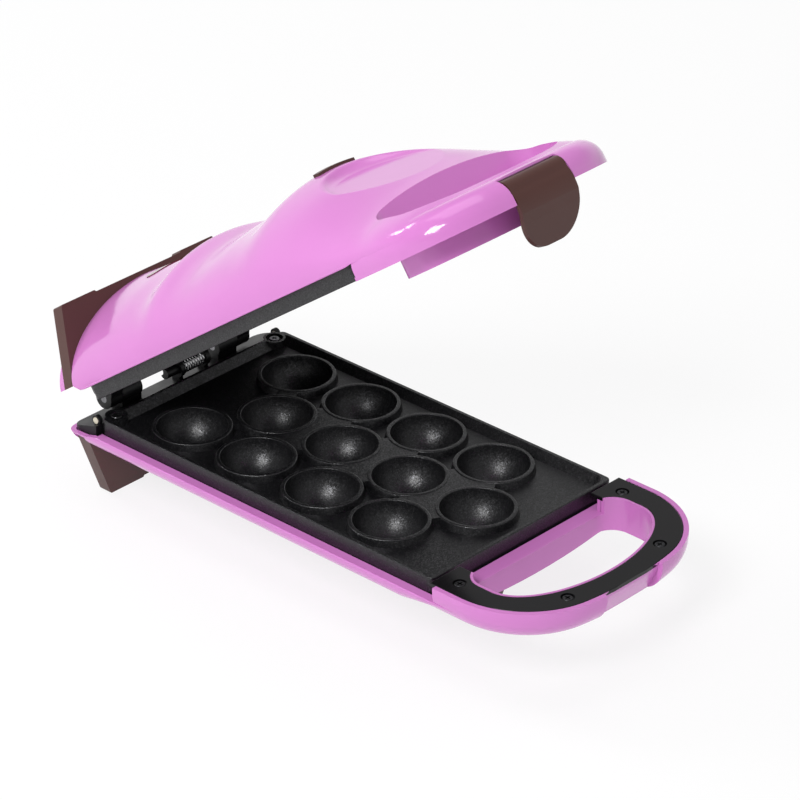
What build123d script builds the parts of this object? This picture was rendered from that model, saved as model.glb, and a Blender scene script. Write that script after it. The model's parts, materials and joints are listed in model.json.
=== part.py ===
"""Cake pop maker: two cast cup plates in a hinged clam-shell body with a loop handle.

All pieces are drawn in the closed position. There z = 0 is the plane where the two plates meet,
x = 0 is the mirror plane of the body, and the handle points towards -Y. At the end each piece is
moved over the origin and onto its feet, and the lid pieces are swung open about the hinge axis.
"""
import os
from math import acos, asin, atan2, cos, degrees, pi, radians, sin, sqrt, tan

from build123d import *

os.makedirs("parts", exist_ok=True)

# ---------------------------------------------------------------- driving dimensions, mm
PLANE_HEIGHT = 47.7          # closing plane above the table
MIDDLE_Y = -18.055           # middle of the open product, from the middle of the cup field
LID_ANGLE = 36.0             # how far the lid stands open at rest, degrees
HINGE_Y = 111.2
HINGE_Z = -0.5

CUP_PITCH = 42.0             # along a row
ROW_PITCH = 34.8             # between rows
CUPS_IN_ROW = 4
CUP_R = 16.9                 # hollow, half of one cake ball
CUP_WALL = 2.2
COLLAR_R = 18.9              # outer radius of the raised ring round a cup
COLLAR_DRAFT = 0.7
CUP_EDGE_IN = 0.4            # rounding inside the ring's top
CUP_EDGE_OUT = 0.6
ARC_RISE = 0.3               # how far a quarter round's middle lies in from its corner

PLATE_HALF_X = 60.4
PLATE_FRONT = -112.4
PLATE_REAR = 98.0
PLATE_WALL = 2.0
PLATE_SIDE = 9.5             # height of the plate's side wall
PLATE_CORNER = 3.0
LIP_GAP = 0.3                # from the closing plane to a lip
LIP_WIDTH = 2.0
LIP_TAPER = 40.0             # slope of the tray's edge, degrees from upright
RING_DROP = 0.3              # ring tops lie this far below the lip
TRAY_DEPTH = 4.0             # lip down to the tray floor
TRAY_FLOOR = 2.6
WEB_DROP = 0.3               # flat webs between the cups lie below the ring tops
BRIDGE_WIDTH = 9.0
EAR_X = 52.5
EAR_Y = 95.6
EAR_R = 5.4
EAR_SINK_R = 4.2             # recess round the plate screw
EAR_SINK = 1.5

HALF_WIDTH = 66.0
FRONT_END = -178.7
REAR_END = 117.0
BOW_R = 182.7                # radius of the handle's bowed front, in plan
CORNER_R = 44.7              # radius of the handle's corners, in plan
WALL = 2.4
RIM = 8.0                    # shell rim to the closing plane, beside the plates
HANDLE_GAP = 0.2             # half of the gap between the closed handles
STEP_Y = -117.8              # where the handle walls rise beside the plate
ROOM_GAP = 1.1               # from the plate's front to the ledge before it
RIM_LIP = 1.2                # thickness of the rims' inner lip beside the plates
CROSS_WALL = 2.0
FIT = 0.3                    # clearance between neighbouring pieces
SEAT = 0.1                   # clearance of a piece in its groove
OVERCUT = 1.0                # how far a cutting form runs past what it cuts

BELLY_DEPTH = 21.0
BELLY_FADE_Y = -95.0         # where the belly starts to run out under the handle
BELLY_FADE_END = -128.0
BELLY_FADE_HALF = 65.0
BELLY_FADE_DEPTH = 9.4
REAR_ROUND = 6.0
HANDLE_DEPTH = 16.8
HANDLE_ROUND = 14.0
BAR_HEIGHT = 14.6
BAR_ROUND = 11.0
REAR_SLOPE_BASE = [(98.4, 8.0), (103.4, 9.6), (120.0, 10.9)]     # y, distance below the plane
REAR_SLOPE_LID = [(99.2, 8.0), (104.2, 11.0), (120.0, 11.0)]

# crown line of the lid: forward of the hinge, half width, height, squareness of the section
CROWN = [
    (-5.6, 63.0, 43.6, 1.75),
    (6.0, 64.2, 44.5, 1.75),
    (18.0, 65.0, 44.2, 1.8),
    (31.0, 65.5, 43.3, 1.85),
    (46.0, 66.0, 42.4, 1.9),
    (62.0, 66.0, 41.8, 1.95),
    (90.0, 66.0, 41.7, 2.0),
    (118.0, 66.0, 42.0, 2.0),
    (136.0, 66.0, 43.5, 2.0),
    (148.0, 66.0, 46.0, 2.0),
    (158.0, 66.0, 48.7, 2.0),
    (168.0, 66.0, 49.7, 2.0),
    (180.0, 66.0, 48.0, 2.0),
    (200.0, 66.0, 42.0, 2.0),
    (213.0, 66.0, 36.0, 2.0),
    (226.0, 65.6, 30.0, 2.0),
    (234.0, 65.1, 27.0, 2.0),
    (242.0, 65.1, 25.7, 2.0),
    (250.0, 64.6, 24.2, 2.0),
    (258.0, 62.6, 22.2, 2.0),
    (265.0, 59.0, 19.8, 2.0),
    (271.0, 54.0, 17.2, 2.0),
    (277.0, 46.0, 14.4, 2.0),
]

GRIP_HALF_X = 49.5
GRIP_DEPTH = 25.3            # half-ellipse part of the finger opening
GRIP_Y = -138.5
GRIP_REAR = -121.2
GRIP_CORNER = 10.0
GRIP_WALL = 2.0
LEDGE_HALF = 44.0            # low ledge behind the finger opening
LEDGE_T = 2.0

TRIM_INSET = 2.7
TRIM_REAR = -114.0
TRIM_T = 1.8
TRIM_LIP = 1.3               # shell lip left between trim and finger opening
SKIRT_DEPTH = 8.5            # how far the lid's skirt reaches into the base's finger opening
SKIRT_GAP = 1.4
SKIRT_T = 2.0

FIN_FRONT = 104.6
FIN_T = 7.3
FIN_TIP_HALF = 49.5
FIN_ROOT = 11.0
FIN_ROOT_HALF = 63.5
FIN_RECESS = 0.9
FIN_RECESS_HALF = 27.5
FIN_ROUND = 1.2
FIN_GRIP = 1.0               # how deep a fin's groove is cut into its shell

KNUCKLE_R = 5.2
KNUCKLE_FOOT = 8.4           # thickness of the foot under a base knuckle
PIN_R = 2.0
PIN_FIT = 0.05               # radial clearance where a pin turns
PIN_PRESS = 0.01             # radial clearance where it is held
BASE_KNUCKLE = (25.5, 38.0)  # from the middle of the body to its side
LID_KNUCKLE = (38.4, 46.0)
COVER_T = 2.2
COVER_FRONT = 98.6
COVER_TOP = 3.6              # below the closing plane
COVER_REAR = 115.4
COVER_REAR_TOP = 8.8
COVER_SILL = 9.6
COVER_LIP = 10.0
COVER_CORNER = 6.0
COVER_HALF = 63.0
PIVOT_Y = 101.4              # short pins seen beside the plate's rear corners
PIVOT_Z = -2.6
PIVOT_R = 1.6
PIVOT_LUG_R = 2.5
PIVOT_LUG = (58.2, 60.2)
PIVOT_PROUD = 0.4
FRAME_Z = (3.6, 9.2)         # the lid's hinge frame
FRAME_Y = (98.1, 101.4, 104.4)
FRAME_HALF = 46.6
FRAME_WIDE = 54.5
ARM_FALL = 2.0               # how the frame's arms slope down to their knuckles

GUARD_Y = 108.4
GUARD_Z = -1.0
GUARD_R = 3.2                # mean radius of the wire guard's turns
GUARD_WIRE = 0.55            # radius of its wire
GUARD_PITCH = 1.64
GUARD_FROM = -0.2
GUARD_TURNS = 10
SOCKET_WALL = 0.65
SOCKET_SINK = 1.1            # how far the guard's ends go into their sockets
SOCKET_BACK = 1.4
SOCKET_FOOT = 5.0            # width of the feet under the sockets
BOOT_R = 2.6                 # sleeve on the wires, to the left of the guard
BOOT_END = -9.0

LATCH_HALF = 18.0
LATCH_GAP = 0.5
LATCH_AXIS_T = 283.0         # forward of the hinge axis
LATCH_AXIS_Z = 7.3
LATCH_HUB_R = 5.2
LATCH_BARREL_R = 2.4
LATCH_PIN_R = 1.25
LATCH_PIN_HALF = 21.5
LATCH_HUB_START = 96.0       # degrees from the forward direction
LATCH_OUTER = [(289.0, 4.2), (289.4, 0.0), (289.0, -4.2), (286.9, -8.8), (280.7, -21.0)]
LATCH_INNER = [(278.9, -20.1), (284.9, -8.2), (286.8, -3.8), (287.2, 0.0), (286.7, 3.0), (284.6, 5.0)]
LATCH_CORNER = 14.5
LATCH_OUTER_WAYS = [(0.0, -1.0), (0.2, -1.0)]    # directions at the ends of its curved faces
LATCH_INNER_WAYS = [(-0.15, 1.0), (0.35, 1.0)]
LATCH_POCKET_T = 280.3
LATCH_SKIN_T = 282.6         # front edge of the shell's skin over the latch
LATCH_SKIN_Z = 12.9
NOTCH_TOP_T = 286.9
NOTCH_GAP = 0.5
BAR_BLOCK_HALF = 24.0

HEATER_R = 3.0
HEATER_X = 55.0
HEATER_FRONT = -104.6
HEATER_REAR = 87.0
HEATER_BEND = 12.0
HEATER_FIT = 0.2
REFLECTOR_T = 0.8
REFLECTOR_HALF = 42.0
REFLECTOR_Y = (-100.0, 80.0)
REFLECTOR_FIT = 0.2

SCREW_HEAD_R = 2.5
SCREW_HEAD_H = 1.1
SCREW_ROUND = 0.4
SCREW_R = 1.4
SCREW_LENGTH = 8.0
PILOT_DEPTH = 11.0
SCREW_CROSS = (3.0, 0.7)
SCREW_CROSS_DEPTH = 0.7
SCREW_SINK = 0.3             # head below the face round it
SINK_R = 3.2
POST_R = 3.7
TRIM_SCREWS = [(54.5, -123.6), (31.0, -165.6), (-31.0, -165.6), (-54.5, -123.6)]

LENS_T = 31.3                # indicator, forward of the hinge axis
LENS_HALF = 15.0
LENS_WIDTH = 7.4
LENS_SPLIT = 7.0
LENS_PROUD = 0.4
LENS_DEPTH = 3.2
LAMP_R = 2.2
LAMP_LENGTH = 8.0
LAMP_X = (-3.5, 10.0)
TAB_T = 169.4
TAB_SIZE = (23.4, 4.4)
TAB_PROUD = 1.3
TAB_ROUND = 0.8

DISH_Y = -102.3
DISH_Z = 33.9
DISH_TILT = 16.0
DISH_FLOOR_R = 33.0
DISH_ROUND = 8.0
DISH_TOP = 30.0
DISH_EDGE = 3.0              # rounding of the dish's brim

FOOT_Y = -80.0
FOOT_ROOT = (26.0, 34.0)
FOOT_TIP = (20.0, 26.0)
FOOT_ROUND = 3.0
FOOT_PAD = (14.0, 20.0)
PAD_T = 1.5
PAD_R = 5.0
PAD_X = 38.5
PAD_WIDTH = 5.3              # across the fin's thickness

THERMOSTAT_R = 8.0
THERMOSTAT_H = 8.0
THERMOSTAT_Y = 76.0
THERMOSTAT_ROUND = 1.0
FUSE_R = 2.0
FUSE_LENGTH = 12.0
FUSE_X = -26.5
FUSE_Y = 88.0
TERMINAL_SIZE = (24.0, 9.0, 8.0)
TERMINAL_Y = 89.5
TERMINAL_WAYS = 3
TERMINAL_HOLE = (2.2, 3.0)   # radius and depth of each way's hole
GLAND_X = 30.0
GLAND_Z = -17.0
GLAND_R = 4.5
GLAND_FLANGE_R = 6.0
GLAND_BORE_R = 3.0
GLAND_PROUD = 3.0

# ---------------------------------------------------------------- places that follow from them
PLATE_MID_Y = (PLATE_FRONT + PLATE_REAR) / 2
PLATE_LENGTH = PLATE_REAR - PLATE_FRONT
TRAY_Z = -LIP_GAP - TRAY_DEPTH
UNDER_Z = TRAY_Z - TRAY_FLOOR
RING_Z = -LIP_GAP - RING_DROP
PLATE_LOW_Z = -LIP_GAP - PLATE_SIDE
CUP_OUT_R = CUP_R + CUP_WALL
CUP_LOW_Z = RING_Z - CUP_OUT_R
CORNER_X = HALF_WIDTH - CORNER_R
BOW_Y = FRONT_END + BOW_R
CORNER_Y = BOW_Y - sqrt((BOW_R - CORNER_R) ** 2 - CORNER_X ** 2)
BOW_ANGLE = degrees(atan2(CORNER_Y - BOW_Y, CORNER_X))
FIN_REAR = FIN_FRONT + FIN_T
HEATER_Z = UNDER_Z - HEATER_R - HEATER_FIT
REFLECTOR_Z = CUP_LOW_Z - REFLECTOR_FIT
TRIM_UNDER = HANDLE_GAP + TRIM_T
CROSS_REAR = STEP_Y - CROSS_WALL
ROOM_FRONT = PLATE_FRONT - ROOM_GAP
LIP_X = PLATE_HALF_X + FIT
LIP_REAR = PLATE_REAR - OVERCUT
EARS = [(EAR_X, EAR_Y), (-EAR_X, EAR_Y)]
SIDES = (-1, 1)
CROWN_SHIFT = HINGE_Y

ROW_SHIFT = (CUPS_IN_ROW - 1) / 2 * CUP_PITCH
OUTER_ROW_Y = [ROW_SHIFT - i * CUP_PITCH for i in range(CUPS_IN_ROW)]
MIDDLE_ROW_Y = [y - CUP_PITCH / 2 for y in OUTER_ROW_Y]
CUPS = [(side * ROW_PITCH, y) for side in SIDES for y in OUTER_ROW_Y]
CUPS += [(0.0, y) for y in MIDDLE_ROW_Y]

REACH = 400.0                # longer than the whole product, for cutting right through
ON_TABLE = Location((0, -MIDDLE_Y, PLANE_HEIGHT))
HINGE = Location((0, HINGE_Y, HINGE_Z))
LID_OPEN = ON_TABLE * HINGE * Location((0, 0, 0), (-LID_ANGLE, 0, 0)) * HINGE.inverse()
UP = (Align.CENTER, Align.CENTER, Align.MIN)
DOWN = (Align.CENTER, Align.CENTER, Align.MAX)


def finish(piece, label, place):
    """Put a finished piece where it belongs on the product, label it and write it."""
    placed = piece.moved(place)
    placed.label = label
    export_step(placed, f"parts/{label}.step")


def cross_plane(y):
    """A plane across the product at y, its own y axis up and its x axis along X."""
    return Plane(origin=(0, y, 0), x_dir=(1, 0, 0), z_dir=(0, -1, 0))


def side_plane(x):
    """A plane along the product at x, its own x axis along Y and its y axis up."""
    return Plane(origin=(x, 0, 0), x_dir=(0, 1, 0), z_dir=(1, 0, 0))


def side_prism(points, half):
    """A polygon of (y, z) points made solid across the product, to both sides of the middle."""
    with BuildPart() as body:
        with BuildSketch(side_plane(0)):
            with BuildLine():
                Polyline(*points, close=True)
            make_face()
        extrude(amount=half, both=True)
    return body.part


def box_between(low, high):
    """A block between two corners."""
    with BuildPart() as body:
        with Locations(low):
            Box(high[0] - low[0], high[1] - low[1], high[2] - low[2], align=(Align.MIN,) * 3)
    return body.part


def both_sides(near, front, rear, low, high):
    """Two blocks from the given distance outwards, left and right of the middle."""
    with BuildPart() as body:
        add(box_between((near, front, low), (REACH, rear, high)))
        add(box_between((-REACH, front, low), (-near, rear, high)))
    return body.part


# ---------------------------------------------------------------- shared outlines
def handle_outline(inset, rear):
    """Plan outline: straight sides, round corners and a slightly bowed front."""
    side = HALF_WIDTH - inset
    with BuildSketch() as outline:
        with BuildLine():
            CenterArc((CORNER_X, CORNER_Y), CORNER_R - inset, BOW_ANGLE, -BOW_ANGLE)
            CenterArc((0, BOW_Y), BOW_R - inset, -180 - BOW_ANGLE, 180 + 2 * BOW_ANGLE)
            CenterArc((-CORNER_X, CORNER_Y), CORNER_R - inset, 180, -BOW_ANGLE)
            Polyline((-side, CORNER_Y), (-side, rear), (side, rear), (side, CORNER_Y))
        make_face()
    return outline.sketch


def grip_outline(inset):
    """The D of the finger opening: a half ellipse in front and a straight edge behind."""
    half = GRIP_HALF_X - inset
    back = GRIP_REAR - inset
    with BuildSketch() as outline:
        with BuildLine():
            EllipticalCenterArc((0, GRIP_Y), half, GRIP_DEPTH - inset, 180, arc_size=180)
            Polyline((half, GRIP_Y), (half, back), (-half, back), (-half, GRIP_Y))
        make_face()
        fillet(outline.vertices().group_by(Axis.Y)[-1], GRIP_CORNER - inset)
    return outline.sketch


def trim_outline(outer_inset, inner_inset, rear):
    """The U between the handle's outer wall and the finger opening."""
    outer = handle_outline(outer_inset, rear)
    inner = grip_outline(inner_inset)
    with BuildSketch() as outline:
        add(outer)
        add(inner, mode=Mode.SUBTRACT)
        with Locations((0, GRIP_REAR)):
            Rectangle(2 * LEDGE_HALF, 2 * (rear - GRIP_REAR) + OVERCUT, mode=Mode.SUBTRACT)
    return outline.sketch


def slab(outline, bottom, top):
    """A plan outline made solid between two heights."""
    with BuildPart() as body:
        with BuildSketch(Plane.XY.offset(bottom)):
            add(outline)
        extrude(amount=top - bottom)
    return body.part


def handle_slab(inset, height, edge):
    """The loop handle's solid form above z = 0, its outer upper edge well rounded."""
    start = -OVERCUT if inset else HANDLE_GAP
    outline = handle_outline(inset, BELLY_FADE_Y)
    with BuildPart() as body:
        with BuildSketch(Plane.XY.offset(start)):
            add(outline)
        extrude(amount=height - inset - start)
        top_edges = body.faces().sort_by(Axis.Z)[-1].edges().sort_by(Axis.Y)[:-1]
        fillet(top_edges, edge - inset)
    return body.part


def half_ellipse(half, depth):
    """The lower half of an ellipse with its flat side on the sketch's x axis."""
    with BuildSketch() as section:
        with BuildLine():
            EllipticalCenterArc((0, 0), half, depth, 180, arc_size=180)
            Line((-half, 0), (half, 0))
        make_face()
    return section.sketch


def belly(inset):
    """The round underside of the base, which runs out under the handle."""
    full = half_ellipse(HALF_WIDTH - inset, BELLY_DEPTH - inset)
    faded = half_ellipse(BELLY_FADE_HALF - inset, BELLY_FADE_DEPTH - inset)
    rear = REAR_END - inset
    with BuildPart() as body:
        with BuildSketch(cross_plane(rear)):
            with Locations((0, -RIM)):
                add(full)
        extrude(amount=rear - BELLY_FADE_Y)
        fillet(body.edges().filter_by(GeomType.ELLIPSE).sort_by(Axis.Y)[-1], REAR_ROUND - inset)
        with BuildSketch(cross_plane(BELLY_FADE_Y)):
            with Locations((0, -RIM)):
                add(full)
        with BuildSketch(cross_plane(BELLY_FADE_END)):
            with Locations((0, -RIM)):
                add(faded)
        loft()
    return body.part


def crown_section(half, height, squareness):
    """A closed arch: |x/half|^n + |z/height|^n = 1 above the flat side."""
    power = 2 / squareness
    points = []
    for step in range(0, 181, 10):
        across = cos(radians(step))
        points.append(((abs(across) ** power) * half * (1 if across > 0 else -1),
                       (sin(radians(step)) ** power if 0 < step < 180 else 0) * height))
    with BuildSketch() as section:
        with BuildLine():
            Spline(*points)
            Line(points[-1], points[0])
        make_face()
    return section.sketch


def dome(inset):
    """The lid's crowned back as one loft through its cross sections."""
    sections = [crown_section(half - inset, top - RIM - inset, power) for _, half, top, power in CROWN]
    with BuildPart() as body:
        for index, section in enumerate(sections):
            shift = inset if index == 0 else 0
            with BuildSketch(cross_plane(CROWN_SHIFT - CROWN[index][0] - shift)):
                with Locations((0, RIM)):
                    add(section)
        loft()
    return body.part


# ---------------------------------------------------------------- screws
with BuildPart() as screw:
    Cylinder(SCREW_HEAD_R, SCREW_HEAD_H, align=DOWN)
    fillet(screw.faces().sort_by(Axis.Z)[-1].edges(), SCREW_ROUND)
    with Locations((0, 0, -SCREW_HEAD_H)):
        Cylinder(SCREW_R, SCREW_LENGTH, align=DOWN)
    with BuildSketch(Plane.XY):
        Rectangle(*SCREW_CROSS)
        Rectangle(*reversed(SCREW_CROSS))
    extrude(amount=-SCREW_CROSS_DEPTH, mode=Mode.SUBTRACT)


def screw_set(places, height):
    """The same screw at several places, its head's top at the given height."""
    with BuildPart() as group:
        with Locations(*[(x, y, height) for x, y in places]):
            add(screw.part)
    return group.part


def post_set(places, radius, low, high):
    """Round posts or holes between two heights."""
    with BuildPart() as group:
        with Locations(*[(x, y, low) for x, y in places]):
            Cylinder(radius, high - low, align=UP)
    return group.part


TRIM_SCREW_Z = -HANDLE_GAP - SCREW_SINK
EAR_SCREW_Z = -LIP_GAP - EAR_SINK + SCREW_HEAD_H
trim_screws = screw_set(TRIM_SCREWS, TRIM_SCREW_Z)
ear_screws = screw_set(EARS, EAR_SCREW_Z)
screw_pilots = post_set(TRIM_SCREWS, SCREW_R + SEAT / 2, TRIM_SCREW_Z - PILOT_DEPTH, 0)
ear_pilots = post_set(EARS, SCREW_R + SEAT / 2, EAR_SCREW_Z - PILOT_DEPTH, 0)

# ---------------------------------------------------------------- cup plates
with BuildPart() as cup:
    with BuildSketch(Plane.XZ):
        with BuildLine():
            rim_angle = asin(-CUP_EDGE_IN / CUP_R)
            inner = CUP_R * cos(rim_angle)
            foot = sqrt(CUP_OUT_R ** 2 - (RING_Z - UNDER_Z) ** 2)
            slant = COLLAR_R + COLLAR_DRAFT
            edge_in = (inner, RING_Z - CUP_EDGE_IN)
            round_in = (inner + ARC_RISE * CUP_EDGE_IN, RING_Z - ARC_RISE * CUP_EDGE_IN)
            top_in = (inner + CUP_EDGE_IN, RING_Z)
            top_out = (COLLAR_R - CUP_EDGE_OUT, RING_Z)
            round_out = (COLLAR_R - ARC_RISE * CUP_EDGE_OUT, RING_Z - ARC_RISE * CUP_EDGE_OUT)
            edge_out = (COLLAR_R, RING_Z - CUP_EDGE_OUT)
            bowl = (CUP_R * sin(pi / 4), RING_Z - CUP_R * cos(pi / 4))
            under = (CUP_OUT_R * sin(pi / 5), RING_Z - CUP_OUT_R * cos(pi / 5))
            ThreePointArc((0, RING_Z - CUP_R), bowl, edge_in)
            ThreePointArc(edge_in, round_in, top_in)
            Line(top_in, top_out)
            ThreePointArc(top_out, round_out, edge_out)
            Polyline(edge_out, (slant, TRAY_Z), (slant, UNDER_Z), (foot, UNDER_Z))
            ThreePointArc((foot, UNDER_Z), under, (0, CUP_LOW_Z))
            Line((0, CUP_LOW_Z), (0, RING_Z - CUP_R))
        make_face()
    revolve(axis=Axis.Z)

with BuildSketch() as web_outline:
    for side in SIDES:
        for near, far in zip(MIDDLE_ROW_Y[:-1], MIDDLE_ROW_Y[1:]):
            with BuildLine():
                Polyline((0, near), (0, far), (side * ROW_PITCH, (near + far) / 2), close=True)
            make_face()
        for near, far in ((MIDDLE_ROW_Y[0], OUTER_ROW_Y[0]), (MIDDLE_ROW_Y[-1], OUTER_ROW_Y[-1])):
            turn = degrees(atan2(far - near, side * ROW_PITCH))
            with Locations(Location((side * ROW_PITCH / 2, (near + far) / 2), turn)):
                Rectangle(CUP_R, BRIDGE_WIDTH)

with BuildPart() as lower_plate:
    with BuildSketch(Plane.XY.offset(-LIP_GAP)):
        with Locations((0, PLATE_MID_Y)):
            RectangleRounded(2 * PLATE_HALF_X, PLATE_LENGTH, PLATE_CORNER)
    extrude(amount=-PLATE_SIDE)
    fillet(lower_plate.faces().sort_by(Axis.Z)[-1].edges(), CUP_EDGE_OUT)
    with BuildSketch(Plane.XY.offset(-LIP_GAP)):
        with Locations((0, PLATE_MID_Y)):
            RectangleRounded(
                2 * (PLATE_HALF_X - LIP_WIDTH), PLATE_LENGTH - 2 * LIP_WIDTH, PLATE_CORNER + LIP_WIDTH
            )
    extrude(amount=-TRAY_DEPTH, taper=LIP_TAPER, mode=Mode.SUBTRACT)
    with BuildSketch(Plane.XY.offset(UNDER_Z)):
        with Locations((0, PLATE_MID_Y)):
            RectangleRounded(2 * (PLATE_HALF_X - PLATE_WALL), PLATE_LENGTH - 2 * PLATE_WALL, PLATE_WALL)
    extrude(amount=-PLATE_SIDE, mode=Mode.SUBTRACT)
    with BuildSketch(Plane.XY.offset(RING_Z - WEB_DROP)):
        add(web_outline.sketch)
    extrude(amount=UNDER_Z - RING_Z + WEB_DROP)
    with Locations(*[(x, y, PLATE_LOW_Z) for x, y in EARS]):
        Cylinder(EAR_R, PLATE_SIDE, align=UP)
    with Locations(*[(x, y, -LIP_GAP) for x, y in EARS]):
        Cylinder(EAR_SINK_R, EAR_SINK, align=DOWN, mode=Mode.SUBTRACT)
        Cylinder(SCREW_R + SEAT, 2 * PLATE_SIDE, align=DOWN, mode=Mode.SUBTRACT)
    with Locations(*[(x, y, 0) for x, y in CUPS]):
        Cylinder(CUP_R + OVERCUT, PLATE_SIDE, align=DOWN, mode=Mode.SUBTRACT)
    with Locations(*[(x, y, 0) for x, y in CUPS]):
        add(cup.part)

# ---------------------------------------------------------------- base shell
base_slab = mirror(handle_slab(0, HANDLE_DEPTH, HANDLE_ROUND), Plane.XY)
base_slab_hollow = mirror(handle_slab(WALL, HANDLE_DEPTH, HANDLE_ROUND), Plane.XY)
base_belly = belly(0)
base_belly_hollow = belly(WALL)
over_rim = box_between((-REACH, STEP_Y, -RIM), (REACH, REACH, REACH))
over_ledge = box_between((-REACH, CROSS_REAR, -RIM - LEDGE_T), (REACH, REACH, REACH))
over_ledge_top = box_between((-LEDGE_HALF, GRIP_REAR - OVERCUT, -RIM), (LEDGE_HALF, REACH, REACH))
grip_wall = slab(grip_outline(-GRIP_WALL), -REACH, -HANDLE_GAP)
grip_cut = slab(grip_outline(0), -REACH, REACH)
trim_pocket = slab(trim_outline(WALL, SEAT - TRIM_LIP, TRIM_REAR + FIT), -TRIM_UNDER, REACH)
base_posts = post_set(TRIM_SCREWS, POST_R, -REACH, -TRIM_UNDER)
ear_posts = post_set(EARS, POST_R, -REACH, PLATE_LOW_Z)
bar_block = box_between((-BAR_BLOCK_HALF, -REACH, -REACH), (BAR_BLOCK_HALF, GRIP_Y, -TRIM_UNDER))
rear_points = [(y, -drop) for y, drop in REAR_SLOPE_BASE]
rear_cut = side_prism(rear_points + [(rear_points[-1][0], REACH), (rear_points[0][0], REACH)], REACH)
notch_points = [(HINGE_Y - t + NOTCH_GAP, z) for t, z in LATCH_INNER]
notch_points = [(HINGE_Y - NOTCH_TOP_T, REACH), (HINGE_Y - NOTCH_TOP_T, 0.0)] + notch_points[2::-1]
notch_points += [(notch_points[-1][0] + LATCH_GAP, -REACH), (-REACH, -REACH), (-REACH, REACH)]
notch_cut = side_prism(notch_points, LATCH_HALF + LATCH_GAP)

with BuildPart() as base_form:
    add(base_slab)
    add(over_rim, mode=Mode.SUBTRACT)
    add(base_belly)

with BuildPart() as base_hollow:
    add(base_slab_hollow)
    add(base_belly_hollow)
    add(over_ledge, mode=Mode.SUBTRACT)

with BuildPart() as plate_room:
    add(base_belly_hollow)
    with Locations((0, ROOM_FRONT, 0)):
        Box(REACH, REACH, REACH, align=(Align.CENTER, Align.MAX, Align.CENTER), mode=Mode.SUBTRACT)
    add(both_sides(LIP_X, -REACH, LIP_REAR, -RIM - RIM_LIP, REACH), mode=Mode.SUBTRACT)

with BuildPart() as base_ribs:
    add(grip_wall)
    add(base_posts)
    add(ear_posts)
    add(bar_block)
    add(base_form.part, mode=Mode.INTERSECT)

foot_root_z = -RIM - BELLY_DEPTH
with BuildPart() as lower_fin_groove:
    with BuildSketch(cross_plane(FIN_REAR + SEAT)):
        with Locations((0, -FIN_ROOT)):
            Rectangle(REACH, REACH, align=(Align.CENTER, Align.MAX))
    extrude(amount=FIN_T + 2 * SEAT)
    add(belly(FIN_GRIP + SEAT), mode=Mode.SUBTRACT)

with BuildPart() as lower_shell:
    add(base_form.part)
    add(base_hollow.part, mode=Mode.SUBTRACT)
    add(plate_room.part, mode=Mode.SUBTRACT)
    add(base_ribs.part)
    add(grip_cut, mode=Mode.SUBTRACT)
    add(over_ledge_top, mode=Mode.SUBTRACT)
    add(trim_pocket, mode=Mode.SUBTRACT)
    add(notch_cut, mode=Mode.SUBTRACT)
    add(rear_cut, mode=Mode.SUBTRACT)
    add(lower_fin_groove.part, mode=Mode.SUBTRACT)
    add(screw_pilots, mode=Mode.SUBTRACT)
    add(ear_pilots, mode=Mode.SUBTRACT)
    with Locations(Location((GLAND_X, REAR_END, GLAND_Z), (90, 0, 0))):
        Cylinder(GLAND_R + SEAT / 2, 4 * WALL, mode=Mode.SUBTRACT)

# ---------------------------------------------------------------- base trim, cover and small parts
notch_front = box_between((-LATCH_HALF - LATCH_GAP, -REACH, -REACH),
                          (LATCH_HALF + LATCH_GAP, HINGE_Y - NOTCH_TOP_T, REACH))
with BuildPart() as handle_trim:
    add(slab(trim_outline(TRIM_INSET, -TRIM_LIP, TRIM_REAR), -TRIM_UNDER, -HANDLE_GAP))
    fillet(handle_trim.faces().sort_by(Axis.Z)[-1].edges(), SCREW_SINK)
    add(notch_front, mode=Mode.SUBTRACT)
    with Locations(*[(x, y, -HANDLE_GAP) for x, y in TRIM_SCREWS]):
        Cylinder(SINK_R, SCREW_SINK + SCREW_HEAD_H, align=DOWN, mode=Mode.SUBTRACT)
        Cylinder(SCREW_R + SEAT, 2 * TRIM_T, align=DOWN, mode=Mode.SUBTRACT)

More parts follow.
